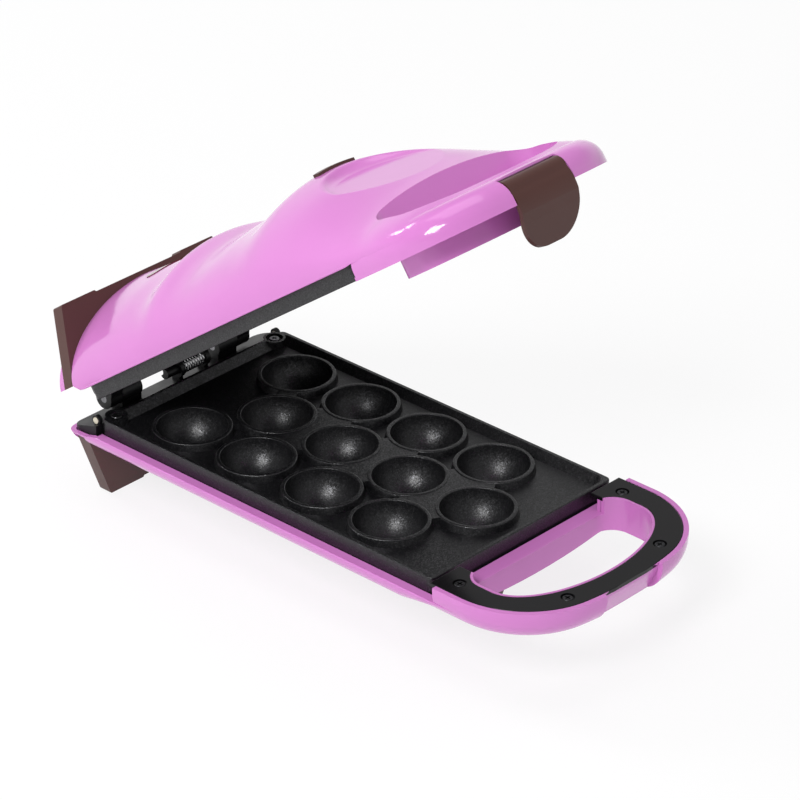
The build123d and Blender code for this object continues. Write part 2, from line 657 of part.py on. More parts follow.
cover_points = [
    (COVER_FRONT, -COVER_TOP), (COVER_REAR, -COVER_REAR_TOP), (COVER_REAR, -COVER_LIP),
    (REAR_END - WALL - FIT, -COVER_LIP), (REAR_END - WALL - FIT, -COVER_SILL), (COVER_FRONT, -COVER_SILL),
]
cover_hollow = [
    (COVER_FRONT + COVER_T, -COVER_TOP - COVER_T), (REAR_END - 2 * WALL, -COVER_REAR_TOP - COVER_T / 2),
    (REAR_END - 2 * WALL, -REACH), (COVER_FRONT + COVER_T, -REACH),
]
guard_bore = GUARD_R + GUARD_WIRE + SEAT
guard_end = GUARD_FROM + GUARD_TURNS * GUARD_PITCH
knuckle_spans = [(side * (BASE_KNUCKLE[0] + BASE_KNUCKLE[1]) / 2) for side in SIDES]
with BuildPart() as rear_cover:
    add(side_prism(cover_points, COVER_HALF))
    fillet(rear_cover.edges().filter_by(Axis.Z).sort_by(Axis.Y)[-2:], COVER_CORNER)
    add(side_prism(cover_hollow, COVER_HALF - COVER_T), mode=Mode.SUBTRACT)
    for middle in knuckle_spans:
        with Locations(Location((middle, HINGE_Y, HINGE_Z), (0, 90, 0))):
            Cylinder(KNUCKLE_R, BASE_KNUCKLE[1] - BASE_KNUCKLE[0])
        with Locations((middle, HINGE_Y, HINGE_Z)):
            Box(BASE_KNUCKLE[1] - BASE_KNUCKLE[0], KNUCKLE_FOOT, COVER_REAR_TOP, align=DOWN)
    for side in SIDES:
        with Locations(Location((side * (PIVOT_LUG[0] + PIVOT_LUG[1]) / 2, PIVOT_Y, PIVOT_Z), (0, 90, 0))):
            Cylinder(PIVOT_LUG_R, PIVOT_LUG[1] - PIVOT_LUG[0])
            Cylinder(PIVOT_R + SEAT / 2, 2 * PIVOT_LUG_R, mode=Mode.SUBTRACT)
        socket_mid = GUARD_FROM + (SOCKET_SINK - SOCKET_BACK) / 2
        if side > 0:
            socket_mid = guard_end + (SOCKET_BACK - SOCKET_SINK) / 2
        with Locations(Location((socket_mid, GUARD_Y, GUARD_Z), (0, 90, 0))):
            Cylinder(guard_bore + SOCKET_WALL, SOCKET_SINK + SOCKET_BACK)
        with Locations((socket_mid, GUARD_Y, GUARD_Z)):
            Box(SOCKET_SINK + SOCKET_BACK, SOCKET_FOOT, COVER_REAR_TOP, align=DOWN)
    with Locations(Location((BOOT_END, GUARD_Y, GUARD_Z), (0, 90, 0))):
        Cylinder(BOOT_R, GUARD_FROM - BOOT_END, align=UP)
    with Locations(Location((GUARD_FROM, GUARD_Y, GUARD_Z), (0, 90, 0))):
        Cylinder(guard_bore, guard_end - GUARD_FROM, align=UP, mode=Mode.SUBTRACT)
    with Locations(Location((0, HINGE_Y, HINGE_Z), (0, 90, 0))):
        Cylinder(PIN_R + PIN_PRESS, 2 * BASE_KNUCKLE[1] + OVERCUT, mode=Mode.SUBTRACT)
    with Locations(*[(x, y, -COVER_SILL) for x, y in EARS]):
        Cylinder(EAR_R + FIT, REACH, mode=Mode.SUBTRACT)

with BuildPart() as corner_pins:
    for side in SIDES:
        middle = side * (PIVOT_LUG[0] + PIVOT_LUG[1] + PIVOT_PROUD) / 2
        with Locations(Location((middle, PIVOT_Y, PIVOT_Z), (0, 90, 0))):
            Cylinder(PIVOT_R, PIVOT_LUG[1] - PIVOT_LUG[0] + PIVOT_PROUD)

with BuildPart() as hinge_pins:
    for side in SIDES:
        middle = side * (BASE_KNUCKLE[0] + LID_KNUCKLE[1]) / 2
        with Locations(Location((middle, HINGE_Y, HINGE_Z), (0, 90, 0))):
            Cylinder(PIN_R, LID_KNUCKLE[1] - BASE_KNUCKLE[0])


def fin(sign):
    """A trapezoid plate across one shell, with a recess in its tip."""
    with BuildPart() as body:
        with BuildSketch(cross_plane(FIN_REAR)):
            with BuildLine():
                Polyline(
                    (-FIN_ROOT_HALF, sign * FIN_ROOT), (FIN_ROOT_HALF, sign * FIN_ROOT),
                    (FIN_TIP_HALF, sign * PLANE_HEIGHT),
                    (FIN_RECESS_HALF + FIN_RECESS, sign * PLANE_HEIGHT),
                    (FIN_RECESS_HALF, sign * (PLANE_HEIGHT - FIN_RECESS)),
                    (-FIN_RECESS_HALF, sign * (PLANE_HEIGHT - FIN_RECESS)),
                    (-FIN_RECESS_HALF - FIN_RECESS, sign * PLANE_HEIGHT),
                    (-FIN_TIP_HALF, sign * PLANE_HEIGHT), close=True,
                )
            make_face()
        extrude(amount=FIN_T)
        tips = body.edges().filter_by(Axis.Y).filter_by(lambda e: abs(e.center().X) > FIN_TIP_HALF - 1)
        fillet(tips.filter_by(lambda e: abs(e.center().Z) > PLANE_HEIGHT - 1), FIN_ROUND)
    return body.part


with BuildPart() as lower_fin:
    add(fin(-1))
    add(belly(FIN_GRIP), mode=Mode.SUBTRACT)
    with Locations(*[(side * PAD_X, FIN_FRONT + FIN_T / 2, -PLANE_HEIGHT) for side in SIDES]):
        Box(2 * PAD_R, PAD_WIDTH, PAD_T, align=UP, mode=Mode.SUBTRACT)

with BuildPart() as front_foot:
    with BuildSketch(Plane.XY.offset(-PLANE_HEIGHT)):
        with Locations((0, FOOT_Y)):
            RectangleRounded(*FOOT_TIP, FOOT_ROUND)
    with BuildSketch(Plane.XY.offset(foot_root_z)):
        with Locations((0, FOOT_Y)):
            RectangleRounded(*FOOT_ROOT, FOOT_ROUND)
    loft()
    with BuildSketch(Plane.XY.offset(foot_root_z)):
        with Locations((0, FOOT_Y)):
            RectangleRounded(*FOOT_ROOT, FOOT_ROUND)
    extrude(amount=WALL)
    add(base_belly, mode=Mode.SUBTRACT)
    with Locations((0, FOOT_Y, -PLANE_HEIGHT)):
        Box(*FOOT_PAD, PAD_T, align=UP, mode=Mode.SUBTRACT)

with BuildPart() as foot_pads:
    with Locations(*[(side * PAD_X, FIN_FRONT + FIN_T / 2, -PLANE_HEIGHT) for side in SIDES]):
        Box(2 * PAD_R, PAD_WIDTH, PAD_T, align=UP)
    with Locations((0, FOOT_Y, -PLANE_HEIGHT)):
        Box(*FOOT_PAD, PAD_T, align=UP)


def heater_loop():
    """The tubular heating element that runs round the cups under a plate."""
    with BuildPart() as body:
        with BuildLine() as path:
            FilletPolyline(
                (-HEATER_X, HEATER_REAR, HEATER_Z), (-HEATER_X, HEATER_FRONT, HEATER_Z),
                (HEATER_X, HEATER_FRONT, HEATER_Z), (HEATER_X, HEATER_REAR, HEATER_Z), radius=HEATER_BEND,
            )
        with BuildSketch(Plane(origin=path.line @ 0, z_dir=path.line % 0)):
            Circle(HEATER_R)
        sweep()
    return body.part


with BuildPart() as lower_reflector:
    with BuildSketch(Plane.XY.offset(REFLECTOR_Z)):
        with Locations((0, sum(REFLECTOR_Y) / 2)):
            RectangleRounded(2 * REFLECTOR_HALF, REFLECTOR_Y[1] - REFLECTOR_Y[0], GRIP_CORNER)
    extrude(amount=-REFLECTOR_T)

with BuildPart() as thermostat:
    with Locations((0, THERMOSTAT_Y, UNDER_Z)):
        Cylinder(THERMOSTAT_R, THERMOSTAT_H, align=DOWN)
    fillet(thermostat.faces().sort_by(Axis.Z)[0].edges(), THERMOSTAT_ROUND)

with BuildPart() as thermal_fuse:
    with Locations(Location((FUSE_X, FUSE_Y, UNDER_Z - FUSE_R), (0, 90, 0))):
        Cylinder(FUSE_R, FUSE_LENGTH)
        Cylinder(FUSE_R / 3, 2 * FUSE_LENGTH)

with BuildPart() as terminal_block:
    with Locations((0, TERMINAL_Y, UNDER_Z)):
        Box(*TERMINAL_SIZE, align=DOWN)
    with GridLocations(TERMINAL_SIZE[0] / TERMINAL_WAYS, 0, TERMINAL_WAYS, 1):
        with Locations((0, TERMINAL_Y, UNDER_Z - TERMINAL_SIZE[2])):
            Cylinder(*TERMINAL_HOLE, align=UP, mode=Mode.SUBTRACT)

with BuildPart() as cord_gland:
    with Locations(Location((GLAND_X, REAR_END - WALL - PAD_T, GLAND_Z), (-90, 0, 0))):
        Cylinder(GLAND_R, WALL + PAD_T + GLAND_PROUD, align=UP)
    with Locations(Location((GLAND_X, REAR_END, GLAND_Z), (-90, 0, 0))):
        Cylinder(GLAND_FLANGE_R, PAD_T, align=UP)
        Cylinder(GLAND_BORE_R, REACH, mode=Mode.SUBTRACT)


# ---------------------------------------------------------------- wire guard, one wound wire
def coil_point(turn):
    """A point of the guard's centre line and its unit direction, after a number of turns."""
    angle = 2 * pi * turn
    slope = GUARD_PITCH / (2 * pi)
    point = Vector(GUARD_FROM + GUARD_WIRE + GUARD_PITCH * turn,
                   GUARD_Y + GUARD_R * cos(angle), GUARD_Z + GUARD_R * sin(angle))
    along = Vector(slope, -GUARD_R * sin(angle), GUARD_R * cos(angle)).normalized()
    return point, along


def arc_middle(start, end, direction, side):
    """The middle of the arc between two points that touches the direction at one end."""
    chord = end - start
    line = chord.normalized()
    across = direction - line * direction.dot(line)
    bulge = chord.length / 2 * tan(acos(min(1.0, direction.dot(line))) / 2)
    return (start + end) * 0.5 + across.normalized() * bulge * side


def coil_arcs(start_turn, end_turn):
    """Two arcs that join two points of the centre line smoothly."""
    first, first_way = coil_point(start_turn)
    last, last_way = coil_point(end_turn)
    gap = last - first
    both = first_way + last_way
    square = 2 * (first_way.dot(last_way) - 1)
    middle = gap.dot(both)
    reach = (middle - sqrt(middle ** 2 - square * gap.dot(gap))) / square
    joint = (first + first_way * reach + last - last_way * reach) * 0.5
    return [
        (first, arc_middle(first, joint, first_way, 1), joint),
        (joint, arc_middle(joint, last, last_way, -1), last),
    ]


COIL_STEPS = 24
coil_path = []
for quarter in range(4 * (GUARD_TURNS - 1)):
    coil_path += coil_arcs(quarter / 4, (quarter + 1) / 4)
coil_samples = [coil_point(step / COIL_STEPS)[0] for step in range(COIL_STEPS * (GUARD_TURNS - 1) + 1)]
coil_gap = min(
    (a - b).length - 2 * GUARD_WIRE
    for i, a in enumerate(coil_samples)
    for b in coil_samples[i + COIL_STEPS // 2:i + COIL_STEPS * 3 // 2]
)
print(f"wire guard: least gap between turns {coil_gap:.2f} mm")

with BuildPart() as wire_guard:
    with BuildLine() as coil_line:
        for arc in coil_path:
            ThreePointArc(*arc)
    with BuildSketch(Plane(origin=coil_point(0)[0], z_dir=coil_point(0)[1])):
        Circle(GUARD_WIRE)
    sweep()

# ---------------------------------------------------------------- lid shell
lid_slab = handle_slab(0, BAR_HEIGHT, BAR_ROUND)
lid_slab_hollow = handle_slab(WALL, BAR_HEIGHT, BAR_ROUND)
lid_dome = dome(0)
lid_dome_hollow = dome(WALL)
under_rim = box_between((-REACH, STEP_Y, -REACH), (REACH, REACH, RIM))
under_cross = box_between((-REACH, CROSS_REAR, -REACH), (REACH, REACH, RIM + LEDGE_T))
lid_grip_wall = slab(grip_outline(-GRIP_WALL), TRIM_UNDER, REACH)
lid_posts = post_set(TRIM_SCREWS, POST_R, TRIM_UNDER, REACH)
lid_ear_posts = post_set(EARS, POST_R, -PLATE_LOW_Z, REACH)
lid_block = box_between((-BAR_BLOCK_HALF, -REACH, 0), (BAR_BLOCK_HALF, GRIP_Y, REACH))
lid_pocket = slab(handle_outline(WALL, TRIM_REAR + FIT), -REACH, TRIM_UNDER)
lid_ledge = box_between((-REACH, CROSS_REAR, -REACH), (REACH, ROOM_FRONT, RIM + LEDGE_T))
lid_rear_points = REAR_SLOPE_LID + [(REAR_SLOPE_LID[-1][0], -REACH), (REAR_SLOPE_LID[0][0], -REACH)]
lid_rear_cut = side_prism(lid_rear_points, REACH)


DISH_PLACE = Location((0, DISH_Y, DISH_Z), (DISH_TILT, 0, 0))


def dish(drop):
    """The round, tilted dish in the lid's back, or the same form lowered for its underside."""
    with BuildPart() as body:
        with BuildSketch(Plane.XZ):
            with BuildLine():
                floor_end = (DISH_FLOOR_R, -drop)
                bend = DISH_ROUND + drop
                arc_mid = (DISH_FLOOR_R + bend * sin(pi / 4), DISH_ROUND - bend * cos(pi / 4))
                Line((0, -drop), floor_end)
                ThreePointArc(floor_end, arc_mid, (DISH_FLOOR_R + bend, DISH_ROUND))
                Polyline((DISH_FLOOR_R + bend, DISH_ROUND), (DISH_FLOOR_R + bend, DISH_TOP),
                         (0, DISH_TOP), (0, -drop))
            make_face()
        revolve(axis=Axis.Z)
    return body.part.moved(DISH_PLACE)


def on_brim(edge):
    """True for an edge of the dish's brim behind the finger opening."""
    middle = (DISH_PLACE.inverse() * Location(edge.center())).position
    reach = DISH_FLOOR_R + DISH_ROUND + OVERCUT
    return edge.center().Y > GRIP_REAR and middle.Z > -OVERCUT and sqrt(middle.X ** 2 + middle.Y ** 2) < reach


with BuildPart() as lid_form:
    add(lid_slab)
    add(under_rim, mode=Mode.SUBTRACT)
    add(lid_dome)
    add(dish(0), mode=Mode.SUBTRACT)
    fillet(lid_form.edges().filter_by(GeomType.CIRCLE, reverse=True).filter_by(on_brim), DISH_EDGE)

with BuildPart() as lid_hollow:
    add(lid_slab_hollow)
    add(under_cross, mode=Mode.SUBTRACT)
    add(lid_dome_hollow)
    add(lid_ledge, mode=Mode.SUBTRACT)
    add(both_sides(LIP_X, -REACH, LIP_REAR, -REACH, RIM + RIM_LIP), mode=Mode.SUBTRACT)
    add(dish(WALL), mode=Mode.SUBTRACT)

with BuildPart() as lid_ribs:
    add(lid_grip_wall)
    add(lid_posts)
    add(lid_ear_posts)
    add(lid_block)
    add(lid_form.part, mode=Mode.INTERSECT)

with BuildPart() as upper_fin_groove:
    with BuildSketch(cross_plane(FIN_REAR + SEAT)):
        with Locations((0, FIN_ROOT)):
            Rectangle(REACH, REACH, align=(Align.CENTER, Align.MIN))
    extrude(amount=FIN_T + 2 * SEAT)
    add(dome(FIN_GRIP + SEAT), mode=Mode.SUBTRACT)

with BuildSketch() as lens_outline:
    with Locations((0, HINGE_Y - LENS_T)):
        SlotOverall(2 * LENS_HALF, LENS_WIDTH)

with BuildSketch() as lens_opening:
    with Locations((0, HINGE_Y - LENS_T)):
        SlotOverall(2 * (LENS_HALF + SEAT), LENS_WIDTH + 2 * SEAT)

latch_cut_points = [
    (HINGE_Y - LATCH_POCKET_T, -REACH), (HINGE_Y - LATCH_POCKET_T, LATCH_SKIN_Z),
    (HINGE_Y - LATCH_SKIN_T, LATCH_SKIN_Z), (HINGE_Y - LATCH_SKIN_T, REACH),
    (-REACH, REACH), (-REACH, -REACH),
]
latch_cut = side_prism(latch_cut_points, LATCH_HALF + LATCH_GAP)
latch_bore_place = Location((0, HINGE_Y - LATCH_AXIS_T, LATCH_AXIS_Z), (0, 90, 0))

with BuildPart() as tab_seat:
    with BuildSketch(Plane.XY.offset(RIM)):
        with Locations((0, HINGE_Y - TAB_T)):
            RectangleRounded(TAB_SIZE[0] + 2 * SEAT, TAB_SIZE[1] + 2 * SEAT, TAB_ROUND + SEAT)
    extrude(amount=REACH)
    add(dome(FIN_GRIP + SEAT), mode=Mode.SUBTRACT)

with BuildPart() as upper_shell:
    add(lid_form.part)
    add(lid_hollow.part, mode=Mode.SUBTRACT)
    add(lid_ribs.part)
    add(grip_cut, mode=Mode.SUBTRACT)
    add(lid_pocket, mode=Mode.SUBTRACT)
    add(latch_cut, mode=Mode.SUBTRACT)
    add(lid_rear_cut, mode=Mode.SUBTRACT)
    add(upper_fin_groove.part, mode=Mode.SUBTRACT)
    add(tab_seat.part, mode=Mode.SUBTRACT)
    add(mirror(screw_pilots, Plane.XY), mode=Mode.SUBTRACT)
    add(mirror(ear_pilots, Plane.XY), mode=Mode.SUBTRACT)
    add(slab(lens_opening.sketch, PLATE_SIDE, REACH), mode=Mode.SUBTRACT)
    with Locations(latch_bore_place):
        Cylinder(LATCH_PIN_R + PIN_PRESS, 2 * (LATCH_PIN_HALF + FIT), mode=Mode.SUBTRACT)

with BuildPart() as upper_fin:
    add(fin(1))
    add(dome(FIN_GRIP), mode=Mode.SUBTRACT)

# ---------------------------------------------------------------- lid fittings
with BuildPart() as lens_blank:
    add(slab(lens_outline.sketch, PLATE_SIDE, REACH))
    add(dome(-LENS_PROUD), mode=Mode.INTERSECT)
    add(dome(LENS_DEPTH), mode=Mode.SUBTRACT)

with BuildPart() as red_lens:
    add(lens_blank.part)
    add(box_between((LENS_SPLIT, -REACH, -REACH), (REACH, REACH, REACH)), mode=Mode.SUBTRACT)

with BuildPart() as green_lens:
    add(lens_blank.part)
    add(box_between((-REACH, -REACH, -REACH), (LENS_SPLIT + SEAT, REACH, REACH)), mode=Mode.SUBTRACT)

LAMP_LOW = CROWN[3][2] - LENS_DEPTH - LAMP_LENGTH
with BuildPart() as indicator_lamps:
    with Locations(*[(x, HINGE_Y - LENS_T, LAMP_LOW) for x in LAMP_X]):
        Cylinder(LAMP_R, 2 * LAMP_LENGTH, align=UP)
    add(dome(LENS_DEPTH + SEAT), mode=Mode.INTERSECT)

with BuildPart() as crest_tab:
    with BuildSketch(Plane.XY.offset(RIM)):
        with Locations((0, HINGE_Y - TAB_T)):
            RectangleRounded(*TAB_SIZE, TAB_ROUND)
    extrude(amount=REACH)
    add(dome(-TAB_PROUD), mode=Mode.INTERSECT)
    add(dome(FIN_GRIP), mode=Mode.SUBTRACT)

arm_points = [
    (FRAME_Y[1], FRAME_Z[1]), (HINGE_Y - KNUCKLE_R / 2, FRAME_Z[1] - ARM_FALL),
    (HINGE_Y + KNUCKLE_R - OVERCUT, HINGE_Z + ARM_FALL), (HINGE_Y, HINGE_Z),
    (HINGE_Y - KNUCKLE_R / 2, HINGE_Z - KNUCKLE_R + OVERCUT), (FRAME_Y[1], FRAME_Z[0] - OVERCUT),
]
with BuildPart() as lid_hinge_frame:
    add(box_between((-FRAME_HALF, FRAME_Y[0], FRAME_Z[0]), (FRAME_HALF, FRAME_Y[1], FRAME_Z[1])))
    add(box_between((-FRAME_WIDE, FRAME_Y[1], FRAME_Z[0]), (FRAME_WIDE, FRAME_Y[2], FRAME_Z[1])))
    for side in SIDES:
        middle = side * (LID_KNUCKLE[0] + LID_KNUCKLE[1]) / 2
        with BuildSketch(side_plane(middle)):
            with BuildLine():
                Polyline(*arm_points, close=True)
            make_face()
        extrude(amount=(LID_KNUCKLE[1] - LID_KNUCKLE[0]) / 2, both=True)
        with Locations(Location((middle, HINGE_Y, HINGE_Z), (0, 90, 0))):
            Cylinder(KNUCKLE_R, LID_KNUCKLE[1] - LID_KNUCKLE[0])
    with Locations(Location((0, HINGE_Y, HINGE_Z), (0, 90, 0))):
        Cylinder(PIN_R + PIN_FIT, 2 * LID_KNUCKLE[1] + OVERCUT, mode=Mode.SUBTRACT)

cover_cut = box_between((-LATCH_HALF - LATCH_GAP, -REACH, -REACH),
                        (LATCH_HALF + LATCH_GAP, HINGE_Y - LATCH_POCKET_T, REACH))
skirt_outer = slab(grip_outline(SKIRT_GAP), -SKIRT_DEPTH, TRIM_UNDER)
skirt_inner = slab(grip_outline(SKIRT_GAP + SKIRT_T), -REACH, REACH)
with BuildPart() as lid_handle_cover:
    add(slab(trim_outline(WALL + SEAT, SKIRT_GAP, TRIM_REAR), HANDLE_GAP, TRIM_UNDER))
    add(cover_cut, mode=Mode.SUBTRACT)
    add(skirt_outer)
    add(skirt_inner, mode=Mode.SUBTRACT)
    with Locations(*[(x, y, HANDLE_GAP) for x, y in TRIM_SCREWS]):
        Cylinder(SINK_R, SCREW_SINK + SCREW_HEAD_H, align=UP, mode=Mode.SUBTRACT)
        Cylinder(SCREW_R + SEAT, 2 * TRIM_T, align=UP, mode=Mode.SUBTRACT)

# ---------------------------------------------------------------- latch
hub = Vector(HINGE_Y - LATCH_AXIS_T, LATCH_AXIS_Z)
hub_start, hub_mid, hub_end = [
    hub + Vector(-LATCH_HUB_R, 0).rotate(Axis.Z, -angle)
    for angle in (LATCH_HUB_START, LATCH_HUB_START / 2, 0)
]
latch_outer = [(HINGE_Y - t, z) for t, z in LATCH_OUTER]
latch_inner = [(HINGE_Y - t, z) for t, z in LATCH_INNER]
with BuildPart() as latch_face:
    with BuildSketch(cross_plane(hub.X)):
        Rectangle(2 * LATCH_HALF, -2 * latch_outer[-1][1])
    extrude(amount=REACH, both=True)
    fillet(latch_face.edges().filter_by(Axis.Y).group_by(Axis.Z)[0], LATCH_CORNER)
latch_front = latch_face.part
with BuildPart() as latch:
    with BuildSketch(side_plane(0)) as latch_section:
        with BuildLine():
            ThreePointArc(hub_start, hub_mid, hub_end)
            Spline(hub_end, *latch_outer[:3], tangents=LATCH_OUTER_WAYS)
            Polyline(*latch_outer[2:], *latch_inner[:3])
            Spline(*latch_inner[2:5], tangents=LATCH_INNER_WAYS)
            Polyline(latch_inner[4], latch_inner[5], hub, hub_start)
        make_face()
        with Locations(hub):
            Circle(LATCH_BARREL_R)
    extrude(amount=LATCH_HALF, both=True)
    add(latch_front, mode=Mode.INTERSECT)
    with Locations(latch_bore_place):
        Cylinder(LATCH_PIN_R + PIN_FIT, 4 * LATCH_HALF, mode=Mode.SUBTRACT)

with BuildPart() as latch_pin:
    with Locations(latch_bore_place):
        Cylinder(LATCH_PIN_R, 2 * LATCH_PIN_HALF)

# ---------------------------------------------------------------- write the pieces
BASE_PIECES = {
    "lower_shell": lower_shell.part,
    "lower_plate": lower_plate.part,
    "lower_plate_screws": ear_screws,
    "handle_trim": handle_trim.part,
    "trim_screws": trim_screws,
    "rear_cover": rear_cover.part,
    "corner_pins": corner_pins.part,
    "hinge_pins": hinge_pins.part,
    "wire_guard": wire_guard.part,
    "lower_fin": lower_fin.part,
    "front_foot": front_foot.part,
    "foot_pads": foot_pads.part,
    "lower_heater": heater_loop(),
    "lower_reflector": lower_reflector.part,
    "thermostat": thermostat.part,
    "thermal_fuse": thermal_fuse.part,
    "terminal_block": terminal_block.part,
    "cord_gland": cord_gland.part,
}
LID_PIECES = {
    "upper_shell": upper_shell.part,
    "upper_plate": mirror(lower_plate.part, Plane.XY),
    "upper_plate_screws": mirror(ear_screws, Plane.XY),
    "lid_handle_cover": lid_handle_cover.part,
    "lid_cover_screws": mirror(trim_screws, Plane.XY),
    "lid_hinge_frame": lid_hinge_frame.part,
    "upper_fin": upper_fin.part,
    "crest_tab": crest_tab.part,
    "red_lens": red_lens.part,
    "green_lens": green_lens.part,
    "indicator_lamps": indicator_lamps.part,
    "upper_heater": mirror(heater_loop(), Plane.XY),
    "upper_reflector": mirror(lower_reflector.part, Plane.XY),
    "latch_pin": latch_pin.part,
    "latch": latch.part,
}
for label, piece in BASE_PIECES.items():
    finish(piece, label, ON_TABLE)
for label, piece in LID_PIECES.items():
    finish(piece, label, LID_OPEN)
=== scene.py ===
# %% [markdown]
# # Cake pop maker, standing open
# A clam-shell machine with two cast plates of half-ball cups between glossy moulded shells. The solid frame
# comes from the CAD model, in metres. This script gives every piece its finish, adds the small surfaces that
# are too fine for the solids, and sets up a plain studio with the camera of the photograph.

# %% Load the frame
import json
import math

import bpy
import numpy as np
from mathutils import Matrix


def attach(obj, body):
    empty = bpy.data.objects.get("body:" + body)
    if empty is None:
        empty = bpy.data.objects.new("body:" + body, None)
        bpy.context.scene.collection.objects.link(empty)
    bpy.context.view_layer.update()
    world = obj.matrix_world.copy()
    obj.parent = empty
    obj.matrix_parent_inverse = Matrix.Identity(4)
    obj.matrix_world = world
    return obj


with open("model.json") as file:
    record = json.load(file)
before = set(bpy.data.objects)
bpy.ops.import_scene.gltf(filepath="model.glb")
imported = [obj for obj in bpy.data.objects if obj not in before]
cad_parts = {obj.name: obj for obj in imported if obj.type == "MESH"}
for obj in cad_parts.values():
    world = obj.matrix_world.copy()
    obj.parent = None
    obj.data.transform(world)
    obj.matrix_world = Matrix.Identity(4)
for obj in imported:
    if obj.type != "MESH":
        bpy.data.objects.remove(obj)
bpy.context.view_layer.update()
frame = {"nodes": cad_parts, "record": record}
nodes = frame["nodes"]

# %% [markdown]
# ## Camera
# The photograph was taken with a long lens from the front left, a little above the table. The place and the
# lens were worked out from the regular rows of cups, so the camera is given by its own three directions:
# right, up and back. Nothing is tilted about the line of sight.

# %% Camera at the photograph's viewing angle
CAMERA_PLACE = (-1.2412, -1.182245, 1.0235)
CAMERA_AZIMUTH = math.radians(-46.85)
CAMERA_HEIGHT = math.radians(28.91)
FOCAL_LENGTH = 193.3
SENSOR = 36.0

right = np.array([math.cos(CAMERA_AZIMUTH), math.sin(CAMERA_AZIMUTH), 0.0])
back = np.array([
    math.sin(CAMERA_AZIMUTH) * math.cos(CAMERA_HEIGHT),
    -math.cos(CAMERA_AZIMUTH) * math.cos(CAMERA_HEIGHT),
    math.sin(CAMERA_HEIGHT),
])
up = np.cross(back, right)
turn = Matrix([[right[i], up[i], back[i], CAMERA_PLACE[i]] for i in range(3)] + [[0, 0, 0, 1]])

camera_data = bpy.data.cameras.new("photo_camera")
camera_data.lens = FOCAL_LENGTH
camera_data.sensor_width = SENSOR
camera = bpy.data.objects.new("photo_camera", camera_data)
camera.matrix_world = turn
bpy.context.scene.collection.objects.link(camera)
bpy.context.scene.camera = camera
print("camera looks along", [round(-v, 3) for v in back])

# %% [markdown]
# ## Node helpers
# Each finish is a small network round one Principled shader. Building one socket by socket takes many lines,
# so the helpers below make a node and set up the usual ends of a network. Each finish can then be read as a
# short list of what it does. All patterns use Object coordinates in metres, because every piece's object sits
# at the origin: a scale of 1000 means about one feature in a millimetre, whatever the piece's size.


# %% Helpers for a network
def new_material(name):
    """An empty network with an output; returns the material and its node tree."""
    material = bpy.data.materials.new(name)
    material.use_nodes = True
    tree = material.node_tree
    tree.nodes.clear()
    tree.nodes.new("ShaderNodeOutputMaterial").name = "Output"
    return material, tree


def add_node(tree, kind, **inputs):
    """One node with some of its inputs set by name, spaces written as underscores."""
    node = tree.nodes.new(kind)
    for name, value in inputs.items():
        node.inputs[name.replace("_", " ")].default_value = value
    return node


def shader(tree, **inputs):
    """A Principled shader joined to the output."""
    node = add_node(tree, "ShaderNodeBsdfPrincipled", **inputs)
    tree.links.new(node.outputs["BSDF"], tree.nodes["Output"].inputs["Surface"])
    return node


def object_point(tree, scale=(1.0, 1.0, 1.0)):
    """Object coordinates, stretched by a Mapping node."""
    coordinates = tree.nodes.new("ShaderNodeTexCoord")
    mapping = add_node(tree, "ShaderNodeMapping", Scale=scale)
    tree.links.new(coordinates.outputs["Object"], mapping.inputs["Vector"])
    return mapping.outputs["Vector"]


print("network helpers ready")

# %% [markdown]
# ## Patterns
# Nothing moulded or cast is quite even. A noise pattern gives the unevenness as a grey value between 0 and 1,
# most of it near the middle. The next helpers turn that grey into what the shader wants: a number in a narrow
# range, a colour between two, or a normal that tilts with the pattern's slope.


# %% Helpers for patterns
def noise(tree, point, scale, detail=2.0):
    """A noise pattern's grey value."""
    node = add_node(tree, "ShaderNodeTexNoise", Scale=scale, Detail=detail)
    tree.links.new(point, node.inputs["Vector"])
    return node.outputs["Fac"]


def spread(tree, value, low, high, start=0.3, end=0.7):
    """A grey value stretched from start..end to low..high."""
    node = add_node(tree, "ShaderNodeMapRange", From_Min=start, From_Max=end, To_Min=low, To_Max=high)
    tree.links.new(value, node.inputs["Value"])
    return node.outputs["Result"]


def shade_between(tree, value, dark, light):
    """A colour between two, by a grey value."""
    ramp = tree.nodes.new("ShaderNodeValToRGB")
    ramp.color_ramp.elements[0].position = 0.3
    ramp.color_ramp.elements[1].position = 0.7
    ramp.color_ramp.elements[0].color = (*dark, 1.0)
    ramp.color_ramp.elements[1].color = (*light, 1.0)
    tree.links.new(value, ramp.inputs["Fac"])
    return ramp.outputs["Color"]


def bumped(tree, height, strength, depth):
    """A normal from a height pattern, depth in metres."""
    node = add_node(tree, "ShaderNodeBump", Strength=strength, Distance=depth)
    tree.links.new(height, node.inputs["Height"])
    return node.outputs["Normal"]


print("pattern helpers ready")

# %% [markdown]
# ## Two kinds of finish
# Most pieces are either moulded plastic or drawn metal, so each kind is a function and a finish is one call.
# Plastic has three patterns of its own size: colour that drifts, gloss that changes, and the grain of the
# mould. Drawn metal has one pattern, stretched into lines, which sets its colour, roughness and bump alike.
# IOR and other numbers that are the same all over the piece are set on the shader's own sockets.

# %% Moulded plastic and drawn metal
DRIFT_SCALE = 14.0    # colour drifts over about 70 mm
GLOSS_SCALE = 60.0    # gloss changes over about 17 mm
LINE_SCALE = 900.0    # drawn lines lie about a millimetre apart
LINE_DEPTH = 0.00002


